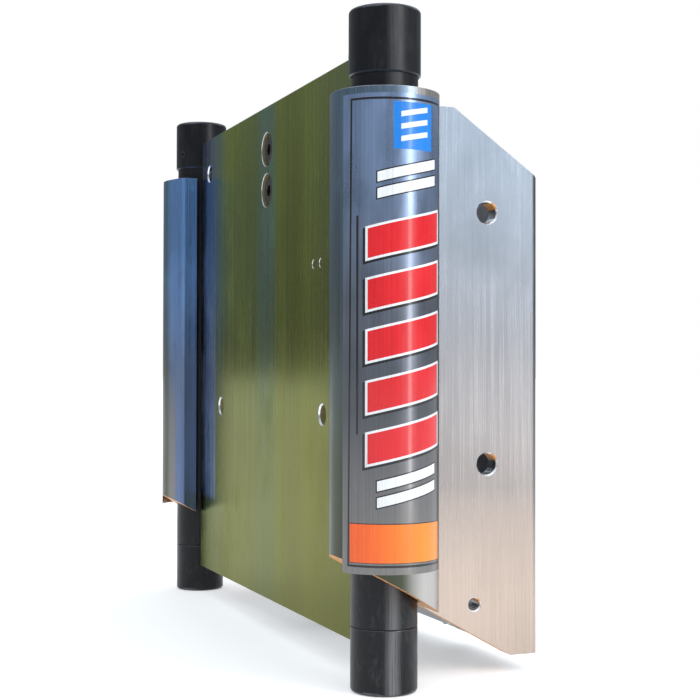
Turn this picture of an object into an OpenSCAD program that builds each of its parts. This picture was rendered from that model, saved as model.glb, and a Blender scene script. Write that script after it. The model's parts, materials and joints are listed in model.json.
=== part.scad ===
// Hydraulic jack plate: a motor plate on two guide tubes, raised by a cylinder between two brackets
// Heights are worked out from the lower end of the guide tubes at rest, depths from the plane of the
// tube axes, and the whole part is then set so that its origin lies on the transom face, midway
// between the upper transom bolts. X points to starboard, Y forward to the transom and Z up.

/* [Guide tubes] */
// Distance from the plate's side edge to the axis of its guide tube
plate_side_gap = 28.65; // [26:0.05:32]
// Outer diameter of a guide tube
tube_d = 42; // [40:0.1:44]
// Bore of a guide tube
tube_bore_d = 25.4; // [20:0.1:28]
// Height of the caps' tops above the plate's top edge
cap_rise = 21.9; // [16:0.1:28]
// Diameter of the neck that the cap seats on
neck_d = 35; // [32:0.5:37]
// Outer diameter of a top cap
cap_d = 45.3; // [44:0.1:48]
// Height of a top cap
cap_h = 42; // [36:0.5:48]
// Thickness of the top cap's roof
cap_roof_t = 9; // [6:0.5:12]
// Rounding of the caps' upper edge and the plugs' lower edge
end_round = 2.5; // [1:0.1:4]
// Height of the part of a bottom plug that shows
plug_h = 41; // [32:0.5:50]
// Height of the plug's spigot inside the tube
spigot_h = 25; // [15:0.5:40]
// Thickness of the fin that joins a tube to the motor plate
fin_t = 5.5; // [4:0.1:7]
// Depth of the plate's groove that takes the fin
fin_groove = 12; // [8:0.5:16]
// Thread diameter of the cap set screws
set_screw_d = 6; // [4:0.5:8]
// Height of the cap set screws above the cap's lower edge
set_screw_rise = 13; // [10:0.5:20]
// Angle of the cap set screws, off the outboard direction
set_screw_angle = 115.7; // [90:0.1:140]

/* [Motor plate] */
// Thickness of the motor plate
plate_t = 14.3; // [12:0.1:17]
// Height of the plate's lower edge above the ends of the tubes
plate_bottom_z = 24.6; // [15:0.1:35]
// Distance between the upper motor bolts
motor_upper_spacing = 327; // [310:0.1:335]
// Distance between the lower motor bolts
motor_lower_spacing = 250.8; // [235:0.1:265]
// Height from the lower to the upper bolt row
bolt_row_rise = 203.2; // [190:0.1:210]
// Upper motor bolts below the plate's top edge
motor_upper_inset = 30.4; // [25:0.1:40]
// Lower motor bolts above the plate's lower edge
motor_lower_inset = 143.9; // [130:0.1:155]
// Upper motor bolts from the plate's side edges
motor_side_inset = 26.5; // [22:0.1:30]
// Diameter of the motor and transom bolt holes
bolt_d = 13.5; // [12:0.1:16]
// Chamfer at the rims of the bolt holes
hole_chamfer = 1; // [0.5:0.1:2]
// Diameter of the two sender holes
sender_hole_d = 6; // [4:0.1:8]
// Distance between the two sender holes
sender_spacing = 14.3; // [11:0.1:20]
// Place of the inner sender hole from the plate's middle
sender_x = 107.6; // [95:0.1:115]
// Sender holes below the plate's top edge
sender_drop = 129.1; // [110:0.1:140]
// Upper cylinder screw below the plate's top edge
lift_screw_inset = 32.9; // [28:0.1:40]
// Distance between the two cylinder screws
lift_screw_pitch = 31.6; // [28:0.1:36]
// Diameter of the counterbores of the cylinder screws
counterbore_d = 26; // [24:0.1:28]
// Depth of these counterbores
counterbore_h = 9; // [7:0.1:10]
// Number of countersunk screws that hold each tube's fin
rail_screws = 5; // [3:1:7]
// Distance of the first and last fin screw from the plate's ends
rail_screw_inset = 42; // [38:0.5:50]

/* [Transom brackets] */
// Outer diameter of a sleeve
sleeve_d = 68.66; // [66:0.1:72]
// Neck that shows between a top cap and its sleeve
neck_show = 11.2; // [8:0.1:16]
// Clearance bore of a sleeve
sleeve_bore_d = 45; // [44.5:0.1:46]
// Width of the slot that the motor plate runs in
slot_w = 24; // [20:0.5:28]
// Rounding of the sleeve's aft inner corner
sleeve_corner_r = 4; // [2:0.5:6]
// Angle at which the aft side leaves the round, off the outboard direction
sleeve_corner_angle = 111.5; // [105:0.5:118]
// Depth from the tube axes to the transom face
setback = 118.3; // [114:0.1:140]
// Thickness of an arm
arm_t = 12.7; // [10:0.1:15]
// Outer face of an arm, inboard of the tube axis
arm_inset = 17.2; // [15:0.1:19]
// Fillet between an arm and its sleeve
arm_fillet = 5; // [3:0.5:8]
// Depth of the flat top edge of an arm, forward of the tube axes
arm_top_y = 56.3; // [50:0.1:65]
// Upper end of an arm's forward edge, below the sleeve's top
arm_front_drop = 43.4; // [36:0.1:50]
// Height of an arm's lower edge
arm_bottom_z = 11.5; // [8:0.1:15]
// Length of the flat lower edge, aft of the transom face
arm_toe = 20.6; // [16:0.1:30]
// Slope of the long lower cut
cut_angle = 29.25; // [26:0.25:31]
// Thickness of the transom flange
flange_t = 12.7; // [10:0.1:15]
// Flange left between the lower transom bolts and its inner edge
flange_margin = 23.95; // [20:0.05:28]
// Rounding of the bracket's forward outer corner
flange_round = 4.5; // [3:0.5:6]
// Fillet between an arm and its flange
flange_fillet = 6; // [4:0.5:8]
// Upper transom bolts below the sleeve's top
transom_upper_drop = 81.4; // [74:0.1:88]
// Diameter of the two large holes in an arm
arm_hole_d = 13.75; // [12:0.1:16]
// Large arm holes aft of the transom face
arm_hole_inset = 37.9; // [32:0.1:44]
// Upper large arm hole below the sleeve's top
arm_hole_drop = 67.9; // [60:0.1:74]
// Distance between the two large arm holes
arm_hole_pitch = 165.2; // [150:0.1:180]
// Diameter of the small hole in an arm
arm_small_hole_d = 7.3; // [6:0.1:9]
// Small arm hole aft of the transom face
arm_small_hole_inset = 47; // [42:0.1:52]
// Height of the small arm hole
arm_small_hole_z = 46.2; // [42:0.1:55]

/* [Bushings] */
// Wall of a bushing, which sits in a recess of its sleeve
bushing_wall = 3.9; // [3:0.1:5]
// Height of a bushing
bushing_h = 100; // [80:1:110]
// Upper bushing below the sleeve's top edge
bushing_inset = 3; // [2:0.5:10]
// Height of the lower bushing's lower end
lower_bushing_z = 92; // [90:0.5:110]
// Radial running clearance of the tubes, the rod and the pins
run_gap = 0.05; // [0.03:0.01:0.08]

/* [Frame ties] */
// Thickness of the crossmember and the tie bar
tie_t = 10; // [8:0.1:12]
// Height of the crossmember's lower edge
cross_z = 16; // [14:0.5:18]
// Height of the crossmember
cross_h = 48; // [44:0.5:52]
// Tie bar's lower edge below the upper transom bolts
tie_drop = 63.4; // [58:0.1:70]
// Height of the tie bar
tie_h = 32; // [26:0.5:36]
// Thread diameter of the frame screws
frame_screw_d = 10; // [8:0.5:11]
// Inner column of frame screws from the flange's inner edge
frame_screw_margin = 23.3; // [16:0.1:28]
// Outer column of frame screws, inboard of the arm
frame_screw_inset = 20; // [18:0.5:24]
// Height between the two rows of crossmember screws
cross_row_pitch = 25; // [22:0.5:28]

/* [Hydraulic cylinder] */
// Depth of the cylinder's axis, forward of the tube axes
cylinder_y = 58; // [54:0.5:60]
// Height of the lower pin
lower_pin_z = 40; // [38:0.5:42]
// Outer diameter of the barrel
barrel_d = 50.8; // [46:0.1:54]
// Bore of the barrel
cylinder_bore_d = 38.1; // [36:0.1:41]
// Rod that shows between the gland and the rod eye at rest
rod_show = 16.4; // [8:0.1:20]
// Diameter of the piston rod
rod_d = 22.2; // [20:0.1:24]
// Height of the piston
piston_h = 22; // [18:0.5:24]
// Diameter of the two cylinder pins
pin_d = 12.7; // [11:0.1:14]
// Radius of the eyes and ears around the pins
eye_r = 16; // [14:0.5:17]
// Width of the two eyes
eye_w = 22; // [18:0.5:26]
// Thickness of an ear
ear_t = 8; // [6:0.5:10]

/* [Labels] */
// Width of a side label, measured round the sleeve
label_w = 75; // [60:0.5:78]
// Upper edge of a label below the sleeve's top
label_drop = 4.4; // [3:0.1:8]
// Height of the label's lower edge
label_z = 76.4; // [70:0.1:78]
// Aft edge of the label, off the outboard direction
label_angle = 69.4; // [60:0.1:72]

/* [Hidden] */
$fn = 96;
// Overrun of every cut past the face that it leaves
cut_over = 1;
// Radial clearance of threads and press seats
seat_gap = 0.05;
// Play across the diameter of seated and of sliding pieces
seat_play = seat_gap * 2;
run_play = run_gap * 2;
bushing_d = tube_d + run_play + bushing_wall * 2 + seat_play;
// Spare length of a cut through a wall, and growth of a hole's width over its chamfer
cut_extra = cut_over * 2;
rim_extra = hole_chamfer * 2;
// Side clearance of the eyes between their ears
side_gap = 0.3;

plate_w = motor_upper_spacing + motor_side_inset + motor_side_inset;
plate_h = motor_lower_inset + bolt_row_rise + motor_upper_inset;
plate_top_z = plate_bottom_z + plate_h;
carriage_h = plate_top_z + cap_rise;
tube_x = plate_w / 2 + plate_side_gap;
shoulder_z = carriage_h - cap_h;
sleeve_top_z = shoulder_z - neck_show;
transom_upper_z = sleeve_top_z - transom_upper_drop;
arm_hole_upper_z = sleeve_top_z - arm_hole_drop;
arm_front_z = sleeve_top_z - arm_front_drop;
tie_z = transom_upper_z - tie_drop;
neck_h = cap_h - cap_roof_t;
cap_wall = (cap_d - neck_d) / 2;
plug_chamfer = 0.8;
set_screw_hex = set_screw_d / 2;
fin_t_gap = 0.05;
fin_end_gap = 0.3;
fin_clear = 2;
fin_x = tube_x - plate_w / 2 + fin_groove - fin_end_gap;
fin_bottom_z = plug_h;
fin_h = shoulder_z - fin_clear - fin_bottom_z;

motor_upper_z = plate_top_z - motor_upper_inset;
rail_screw_d = 6;
rail_head_d = 12;
rail_head_h = 3.3;
rail_socket_share = 0.7;
rail_screw_h = plate_t / 2 + fin_t / 2 + (plate_t - fin_t) / 6;
rail_screw_x = plate_w / 2 - fin_groove / 2;
rail_screw_z0 = plate_bottom_z + rail_screw_inset;
rail_screw_step = (plate_h - rail_screw_inset - rail_screw_inset) / (rail_screws - 1);
lift_screw_d = 14;
lift_head_d = 20;
lift_head_h = 7.5;
lift_hex = 10;
lift_hex_h = 4.5;
upper_pin_z = plate_top_z - lift_screw_inset - lift_screw_pitch / 2;

arm_x = -arm_inset;
inner_x = arm_x - arm_t;
sleeve_r = sleeve_d / 2;
corner_normal = [cos(sleeve_corner_angle), -sin(sleeve_corner_angle)];
corner_clear_share = 1.0001;
corner_steps = 8;
corner_x = inner_x + sleeve_corner_r;
corner_y = (sleeve_r - sleeve_corner_r - corner_x * corner_normal[0]) / corner_normal[1];
corner_arc = [
    for (i = [0 : corner_steps])
        let (a = sleeve_corner_angle + (180 - sleeve_corner_angle) * i / corner_steps)
            [corner_x + sleeve_corner_r * cos(a), corner_y - sleeve_corner_r * sin(a)]
];
fillet_x = arm_x + arm_fillet;
fillet_y = sqrt(pow(sleeve_r + arm_fillet, 2) - pow(fillet_x, 2));
fillet_share = sleeve_r / (sleeve_r + arm_fillet);
flange_end_x = motor_lower_spacing / 2 - flange_margin;
flange_x = flange_end_x - tube_x;
flange_w = arm_x - flange_x;
toe_y = setback - arm_toe;
cut_reach_y = -sleeve_r - cut_over;
cut_reach_z = arm_bottom_z + (toe_y - cut_reach_y) * tan(cut_angle);
upper_bushing_z = sleeve_top_z - bushing_inset - bushing_h;

tie_y = setback - flange_t - tie_t;
arm_inner_x = tube_x + inner_x;
tie_end_gap = 0.3;
frame_head_d = 16;
frame_head_h = 10;
frame_hex = 8;
frame_hex_h = 5;
flange_skin = 2.7;
frame_screw_bite = flange_t - flange_skin;
frame_screw_x = [arm_inner_x - frame_screw_inset, flange_end_x + frame_screw_margin];
cross_rows = [cross_z + (cross_h - cross_row_pitch) / 2, cross_z + (cross_h + cross_row_pitch) / 2];
tie_rows = [tie_z + tie_h / 2];

lug_w = 84;
lug_h = 40;
lug_base_t = 8;
lug_screw_d = 8;
lug_screw_x = 32;
lug_screw_z = 12;
lug_head_d = 13;
lug_head_h = 8;
lug_hex = 6;
lug_hex_h = 4;
tie_skin = 2;
lug_screw_bite = tie_t - tie_skin;
ear_x = eye_w / 2 + side_gap;
ear_end_x = ear_x + ear_t;
pin_groove = 0.8;
pin_groove_d = pin_d - pin_groove - pin_groove;
ring_t = 1.2;
ring_w = 3;
ring_d = pin_d + ring_w + ring_w;
ring_gap = 0.1;
ring_mouth = 6;
pin_end = 2.4;
pin_x = ear_end_x + ring_gap + ring_t + pin_end;

cap_under_gap = 2;
base_cap_z = lower_pin_z + eye_r + cap_under_gap;
base_cap_h = 14;
base_spigot_h = 12;
barrel_z = base_cap_z + base_cap_h;
collar_d = eye_r + eye_r;
collar_h = 17;
collar_z = upper_pin_z - eye_r - cap_under_gap - collar_h;
gland_top_h = 10;
barrel_top_z = collar_z - rod_show - gland_top_h;
barrel_h = barrel_top_z - barrel_z;
base_room = 4;
nut_h = 10;
nut_hex = 22;
nut_z = barrel_z + base_spigot_h + base_room;
piston_z = nut_z + nut_h;
piston_gap = 0.08;
rod_spigot_d = 14;
piston_groove_h = 4;
seal_w = 4;
piston_groove_d = cylinder_bore_d - seal_w - seal_w;
gland_spigot_h = 24;
gland_z = barrel_top_z - gland_spigot_h;
wiper_d = rod_d + seal_w + seal_w;
wiper_h = 5;
rod_seal_h = 6;
rod_seal_rise = 8;
rod_seal_z = gland_z + rod_seal_rise;
rod_bite = 15;
rod_top_z = collar_z + rod_bite;
lift_base_t = 12;
lift_base_w = 64;
lift_base_margin = 16;
lift_base_h = lift_screw_pitch + lift_base_margin + lift_base_margin;
plate_front_y = plate_t / 2;
lift_screw_end = 1.5;
lift_screw_len = plate_t - counterbore_h + lift_base_t - lift_screw_end;

port_boss_d = 22;
port_boss_x = 36;
port_bore_d = 6;
port_seat_d = 12;
port_seat_h = 8;
port_hex = 19;
port_hex_h = 8;
port_nose_d = 14.2;
port_nose_h = 15;
base_port_z = nut_z + nut_h / 5;
rod_port_gap = 1;
rod_port_z = gland_z - rod_port_gap - port_bore_d / 2;

label_t = 0.25;
label_glue = 0.04;
label_r = sleeve_r + label_glue + label_t;
label_h = sleeve_top_z - label_drop - label_z;
label_span = label_w / label_r * 180 / PI;

// From the tube-end datum to the transom datum
module part_frame() {
    translate([0, -setback, -transom_upper_z]) children();
}

// Sets a shape drawn around a tube axis on the starboard side
module starboard() {
    part_frame() translate([tube_x, 0, 0]) children();
}

module port() {
    mirror([1, 0, 0]) starboard() children();
}

// A round bar along Y, from y forward
module bar_y(x, y, z, d, h) {
    translate([x, y, z]) rotate([-90, 0, 0]) cylinder(d = d, h = h);
}

// A round bar along X, from x outwards
module bar_x(x, y, z, d, h) {
    translate([x, y, z]) rotate([0, 90, 0]) cylinder(d = d, h = h);
}

// A drilled hole along Y through a wall of thickness t, chamfered at its aft rim
module rimmed_y(x, y, z, d, t) {
    bar_y(x, y - cut_over, z, d, t + cut_extra);
    translate([x, y, z]) rotate([-90, 0, 0]) cylinder(d1 = d + rim_extra, d2 = d, h = hole_chamfer);
}

// A drilled hole along Y through a wall of thickness t, chamfered at both rims
module chamfered_y(x, y, z, d, t) {
    rimmed_y(x, y, z, d, t);
    translate([x, y + t - hole_chamfer, z])
        rotate([-90, 0, 0]) cylinder(d1 = d, d2 = d + rim_extra, h = hole_chamfer);
}

// A drilled hole along X through a wall of thickness t, chamfered at both rims
module chamfered_x(x, y, z, d, t) {
    rim_d = d + rim_extra;
    bar_x(x - cut_over, y, z, d, t + cut_extra);
    translate([x, y, z]) rotate([0, 90, 0]) cylinder(d1 = rim_d, d2 = d, h = hole_chamfer);
    translate([x + t - hole_chamfer, y, z]) rotate([0, 90, 0]) cylinder(d1 = d, d2 = rim_d, h = hole_chamfer);
}

// A socket head screw, head up, with its head seated at z = 0
module socket_screw(d, len, head_d, head_h, hex, hex_h) {
    difference() {
        union() {
            translate([0, 0, -len]) cylinder(d = d, h = len);
            cylinder(d = head_d, h = head_h);
        }
        translate([0, 0, head_h - hex_h]) cylinder(d = hex, h = hex_h + cut_over, $fn = 6);
    }
}

// Plan of a bracket around its tube axis: round sleeve, arm and inward flange
module bracket_plan() {
    difference() {
        union() {
            circle(d = sleeve_d);
            translate([inner_x, sleeve_r * corner_normal[1]])
                square([-inner_x, -sleeve_r * corner_normal[1]]);
            translate([inner_x, 0]) square([arm_t, setback - flange_round]);
            translate([flange_x, setback - flange_t]) square([flange_w - flange_round, flange_t]);
            translate([arm_x - flange_round, setback - flange_round]) circle(r = flange_round);
            difference() {
                polygon([
                    [inner_x + arm_t / 2, 0], [0, -slot_w / 4], fillet_share * [fillet_x, fillet_y],
                    [fillet_x, fillet_y], [arm_x, fillet_y], [inner_x + arm_t / 2, fillet_y]
                ]);
                translate([fillet_x, fillet_y]) circle(r = arm_fillet);
            }
            difference() {
                translate([inner_x - flange_fillet, setback - flange_t - flange_fillet])
                    square([flange_fillet, flange_fillet]);
                translate([inner_x - flange_fillet, setback - flange_t - flange_fillet])
                    circle(r = flange_fillet);
            }
        }
        polygon(concat(
            [[inner_x - cut_over, 0], [inner_x, 0]],
            [for (i = [corner_steps : -1 : 0]) corner_arc[i]],
            [
                corner_clear_share * sleeve_r * corner_normal,
                [0, -sleeve_r - sleeve_r], [inner_x - cut_over, -sleeve_r - sleeve_r]
            ]
        ));
        circle(d = sleeve_bore_d);
        translate([-sleeve_r - cut_over, -slot_w / 2]) square([sleeve_r + cut_over, slot_w]);
        translate([-sleeve_r - cut_over, -sleeve_r - cut_over])
            square([sleeve_r + cut_over + inner_x, sleeve_r + sleeve_r + cut_extra]);
    }
}

// Side outline of a bracket, with its top slope and its long lower cut
module bracket_side() {
    polygon([
        [cut_reach_y, sleeve_top_z], [arm_top_y, sleeve_top_z], [setback, arm_front_z],
        [setback, arm_bottom_z], [toe_y, arm_bottom_z], [cut_reach_y, cut_reach_z]
    ]);
}

module bracket() {
    color("#aeb3b8") difference() {
        intersection() {
            linear_extrude(height = sleeve_top_z) bracket_plan();
            translate([flange_x - cut_over, 0, 0]) rotate([90, 0, 90])
                linear_extrude(height = sleeve_r - flange_x + cut_extra) bracket_side();
        }
        for (z = [upper_bushing_z, lower_bushing_z])
            translate([0, 0, z]) cylinder(d = bushing_d, h = bushing_h);
        rimmed_y(motor_upper_spacing / 2 - tube_x, setback - flange_t, transom_upper_z, bolt_d, flange_t);
        rimmed_y(motor_lower_spacing / 2 - tube_x, setback - flange_t, transom_upper_z - bolt_row_rise,
            bolt_d, flange_t);
        for (z = [arm_hole_upper_z, arm_hole_upper_z - arm_hole_pitch])
            chamfered_x(inner_x, setback - arm_hole_inset, z, arm_hole_d, arm_t);
        chamfered_x(inner_x, setback - arm_small_hole_inset, arm_small_hole_z, arm_small_hole_d, arm_t);
        for (x = frame_screw_x, z = concat(cross_rows, tie_rows))
            bar_y(x - tube_x, setback - flange_t - cut_over, z, frame_screw_d + seat_play,
                frame_screw_bite + cut_over);
    }
}

module bushing(z) {
    color("#e8e6da") translate([0, 0, z]) difference() {
        cylinder(d = bushing_d - seat_play, h = bushing_h);
        translate([0, 0, -cut_over]) cylinder(d = tube_d + run_play, h = bushing_h + cut_extra);
        translate([-bushing_d, -slot_w / 2, -cut_over])
            cube([bushing_d, slot_w, bushing_h + cut_extra]);
    }
}

// A flat bar across the bay, on the aft faces of both flanges
module frame_bar(z, h, rows) {
    w = arm_inner_x - flange_fillet - tie_end_gap;
    difference() {
        translate([-w, tie_y, z]) cube([w + w, tie_t, h]);
        for (side = [-1, 1], x = frame_screw_x, row = rows)
            bar_y(side * x, tie_y - cut_over, row, frame_screw_d + seat_play, tie_t + cut_extra);
    }
}

module frame_screws(rows) {
    color("#c9ccd0") for (side = [-1, 1], x = frame_screw_x, row = rows)
        translate([side * x, tie_y, row]) rotate([90, 0, 0])
            socket_screw(frame_screw_d, tie_t + frame_screw_bite, frame_head_d, frame_head_h,
                frame_hex, frame_hex_h);
}

module crossmember() {
    color("#aeb3b8") part_frame() difference() {
        frame_bar(cross_z, cross_h, cross_rows);
        for (x = [-lug_screw_x, lug_screw_x], z = [-lug_screw_z, lug_screw_z])
            bar_y(x, tie_y - cut_over, lower_pin_z + z, lug_screw_d + seat_play, lug_screw_bite + cut_over);
    }
}

module tie_bar() {
    color("#aeb3b8") part_frame() frame_bar(tie_z, tie_h, tie_rows);
}

// One ear or eye in the plane of the pin, from the pin to a wall at depth y
module ear(x, w, z, y) {
    translate([x, 0, 0]) rotate([90, 0, 90]) linear_extrude(height = w) {
        translate([cylinder_y, z]) circle(r = eye_r);
        translate([min(y, cylinder_y), z - eye_r]) square([abs(y - cylinder_y), eye_r + eye_r]);
    }
}

module pin_hole(z) {
    bar_x(-ear_end_x - cut_over, cylinder_y, z, pin_d + run_play, ear_end_x + ear_end_x + cut_extra);
}

module cylinder_lug() {
    color("#9a9ea4") part_frame() difference() {
        union() {
            translate([-lug_w / 2, tie_y - lug_base_t, lower_pin_z - lug_h / 2])
                cube([lug_w, lug_base_t, lug_h]);
            for (x = [-ear_end_x, ear_x])
                ear(x, ear_t, lower_pin_z, tie_y);
        }
        pin_hole(lower_pin_z);
        for (x = [-lug_screw_x, lug_screw_x], z = [-lug_screw_z, lug_screw_z])
            bar_y(x, tie_y - lug_base_t - cut_over, lower_pin_z + z, lug_screw_d + seat_play,
                lug_base_t + cut_extra);
    }
}

module lug_screws() {
    color("#c9ccd0") part_frame() for (x = [-lug_screw_x, lug_screw_x], z = [-lug_screw_z, lug_screw_z])
        translate([x, tie_y - lug_base_t, lower_pin_z + z]) rotate([90, 0, 0])
            socket_screw(lug_screw_d, lug_base_t + lug_screw_bite, lug_head_d, lug_head_h,
                lug_hex, lug_hex_h);
}

// A pin across the bay with a ring groove near each end
module cylinder_pin(z) {
    color("#c9ccd0") part_frame() difference() {
        bar_x(-pin_x, cylinder_y, z, pin_d, pin_x + pin_x);
        for (x = [-ear_end_x - ring_gap - ring_t, ear_end_x + ring_gap]) difference() {
            bar_x(x, cylinder_y, z, pin_d + cut_over, ring_t);
            bar_x(x - cut_over, cylinder_y, z, pin_groove_d, ring_t + cut_extra);
        }
    }
}

// Two open retaining rings in a pin's grooves
module pin_rings(z) {
    color("#55585c") part_frame() for (x = [-ear_end_x - ring_gap - ring_t, ear_end_x + ring_gap])
        difference() {
            bar_x(x, cylinder_y, z, ring_d, ring_t);
            bar_x(x - cut_over, cylinder_y, z, pin_groove_d + seat_gap, ring_t + cut_extra);
            translate([x - cut_over, cylinder_y - ring_mouth / 2, z])
                cube([ring_t + cut_extra, ring_mouth, ring_d]);
        }
}

module cylinder_barrel() {
    color("#2a2c30") part_frame() translate([0, cylinder_y, 0]) difference() {
        union() {
            translate([0, 0, barrel_z]) cylinder(d = barrel_d, h = barrel_h);
            for (z = [base_port_z, rod_port_z])
                bar_x(-port_boss_x, 0, z, port_boss_d, port_boss_x);
        }
        translate([0, 0, barrel_z - cut_over]) cylinder(d = cylinder_bore_d, h = barrel_h + cut_extra);
        for (z = [base_port_z, rod_port_z]) {
            bar_x(-port_boss_x - cut_over, 0, z, port_bore_d, port_boss_x + cut_over);
            bar_x(-port_boss_x - cut_over, 0, z, port_seat_d + seat_play, port_seat_h + cut_over);
        }
    }
}

module base_cap() {
    color("#2a2c30") part_frame() difference() {
        union() {
            translate([0, cylinder_y, base_cap_z]) cylinder(d = barrel_d, h = base_cap_h);
            translate([0, cylinder_y, barrel_z]) cylinder(d = cylinder_bore_d - seat_play, h = base_spigot_h);
            bar_x(-eye_w / 2, cylinder_y, lower_pin_z, eye_r + eye_r, eye_w);
            translate([-eye_w / 2, cylinder_y - eye_r, lower_pin_z])
                cube([eye_w, eye_r + eye_r, base_cap_z - lower_pin_z + cut_over]);
        }
        pin_hole(lower_pin_z);
    }
}

module gland() {
    color("#8b8f94") part_frame() translate([0, cylinder_y, 0]) difference() {
        union() {
            translate([0, 0, barrel_top_z]) cylinder(d = barrel_d, h = gland_top_h);
            translate([0, 0, gland_z]) cylinder(d = cylinder_bore_d - seat_play, h = gland_spigot_h);
        }
        translate([0, 0, gland_z - cut_over])
            cylinder(d = rod_d + run_play, h = gland_spigot_h + gland_top_h + cut_extra);
        translate([0, 0, barrel_top_z + gland_top_h - wiper_h]) cylinder(d = wiper_d, h = wiper_h + cut_over);
        translate([0, 0, rod_seal_z]) cylinder(d = wiper_d, h = rod_seal_h);
    }
}

// A seal ring around the rod
module rod_ring(z, h) {
    part_frame() translate([0, cylinder_y, z]) difference() {
        cylinder(d = wiper_d - seat_play, h = h);
        translate([0, 0, -cut_over]) cylinder(d = rod_d + run_play, h = h + cut_extra);
    }
}

module rod_seal() {
    color("#1d1d1f") rod_ring(rod_seal_z, rod_seal_h);
}

module rod_wiper() {
    color("#1d1d1f") rod_ring(barrel_top_z + gland_top_h - wiper_h, wiper_h);
}

// A straight hose adapter: seat, hexagon and threaded nose with a through bore
module port_fitting(z) {
    color("#c9ccd0") part_frame() translate([-port_boss_x, cylinder_y, z]) rotate([0, -90, 0]) difference() {
        union() {
            translate([0, 0, -port_seat_h]) cylinder(d = port_seat_d, h = port_seat_h);
            cylinder(d = port_hex, h = port_hex_h, $fn = 6);
            cylinder(d = port_nose_d, h = port_hex_h + port_nose_h);
        }
        translate([0, 0, -port_seat_h - cut_over])
            cylinder(d = port_bore_d, h = port_seat_h + port_hex_h + port_nose_h + cut_extra);
    }
}

// A thin sheet wrapped round the outboard side of a sleeve
module label() {
    color("#c8ccd1") translate([0, 0, label_z]) rotate([0, 0, -label_angle])
        rotate_extrude(angle = label_span) translate([label_r - label_t, 0]) square([label_t, label_h]);
}

module motor_plate() {
    color("#9fa48c") part_frame() difference() {
        translate([-plate_w / 2, -plate_t / 2, plate_bottom_z]) cube([plate_w, plate_t, plate_h]);
        for (side = [-1, 1]) {
            chamfered_y(side * motor_upper_spacing / 2, -plate_t / 2, motor_upper_z, bolt_d, plate_t);
            chamfered_y(side * motor_lower_spacing / 2, -plate_t / 2, motor_upper_z - bolt_row_rise,
                bolt_d, plate_t);
            translate([side * (plate_w - fin_groove) / 2, 0, plate_bottom_z + plate_h / 2])
                cube([fin_groove, fin_t + fin_t_gap + fin_t_gap, plate_h + cut_extra], center = true);
            for (i = [0 : rail_screws - 1])
                translate([side * rail_screw_x, plate_front_y, rail_screw_z0 + i * rail_screw_step])
                    rotate([90, 0, 0]) rail_screw_form(seat_gap);
        }
        for (x = [sender_x, sender_x + sender_spacing])
            bar_y(x, -plate_t / 2 - cut_over, plate_top_z - sender_drop, sender_hole_d, plate_t + cut_extra);
        for (z = [upper_pin_z - lift_screw_pitch / 2, upper_pin_z + lift_screw_pitch / 2]) {
            bar_y(0, -plate_t / 2 - cut_over, z, lift_screw_d + seat_play, plate_t + cut_extra);
            bar_y(0, -plate_t / 2 - cut_over, z, counterbore_d, counterbore_h + cut_over);
        }
    }
}

// A countersunk screw, or its hole when gap is set, from its flat head at z = 0 inwards
module rail_screw_form(gap) {
    cylinder(d1 = rail_head_d + gap + gap, d2 = rail_screw_d + gap + gap, h = rail_head_h);
    cylinder(d = rail_screw_d + gap + gap, h = rail_screw_h + gap);
}

module rail_screws() {
    color("#c9ccd0") for (i = [0 : rail_screws - 1])
        translate([rail_screw_x - tube_x, plate_front_y, rail_screw_z0 + i * rail_screw_step])
            rotate([90, 0, 0]) difference() {
                rail_screw_form(0);
                translate([0, 0, -cut_over])
                    cylinder(d = rail_head_d / 3, h = rail_head_h * rail_socket_share + cut_over, $fn = 6);
            }
}

// A thick tube with a turned neck on top and a fin towards the motor plate
module guide_tube() {
    color("#1b1b1d") difference() {
        union() {
            translate([0, 0, plug_h]) cylinder(d = tube_d, h = shoulder_z - plug_h);
            translate([0, 0, shoulder_z]) cylinder(d = neck_d, h = neck_h);
            translate([-fin_x, -fin_t / 2, fin_bottom_z]) cube([fin_x, fin_t, fin_h]);
        }
        translate([0, 0, plug_h - cut_over])
            cylinder(d = tube_bore_d, h = carriage_h - plug_h + cut_over);
        for (i = [0 : rail_screws - 1])
            translate([rail_screw_x - tube_x, plate_front_y, rail_screw_z0 + i * rail_screw_step])
                rotate([90, 0, 0]) rail_screw_form(seat_gap);
    }
}

// A cap over the tube's neck, rounded on top
module top_cap() {
    color("#161618") translate([0, 0, shoulder_z]) difference() {
        rotate_extrude() {
            translate([0, plug_chamfer]) square([cap_d / 2, cap_h - end_round - plug_chamfer]);
            square([cap_d / 2 - end_round, cap_h]);
            polygon([
                [0, 0], [cap_d / 2 - plug_chamfer, 0], [cap_d / 2, plug_chamfer], [0, plug_chamfer]
            ]);
            translate([cap_d / 2 - end_round, cap_h - end_round]) circle(r = end_round);
        }
        translate([0, 0, -cut_over]) cylinder(d = neck_d + seat_play, h = neck_h + cut_over);
        rotate([0, 0, -set_screw_angle])
            bar_x(0, 0, set_screw_rise, set_screw_d + seat_play, cap_d);
    }
}

// A plug that closes the tube's lower end, rounded below
module bottom_plug() {
    color("#161618") difference() {
        rotate_extrude() {
            translate([0, end_round]) square([tube_d / 2, plug_h - end_round - plug_chamfer]);
            square([tube_d / 2 - end_round, plug_h]);
            polygon([
                [0, plug_h - plug_chamfer], [tube_d / 2, plug_h - plug_chamfer],
                [tube_d / 2 - plug_chamfer, plug_h], [0, plug_h]
            ]);
            translate([tube_d / 2 - end_round, end_round]) circle(r = end_round);
            translate([0, plug_h - cut_over]) square([tube_bore_d / 2 - seat_gap, spigot_h + cut_over]);
        }
    }
}

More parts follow.
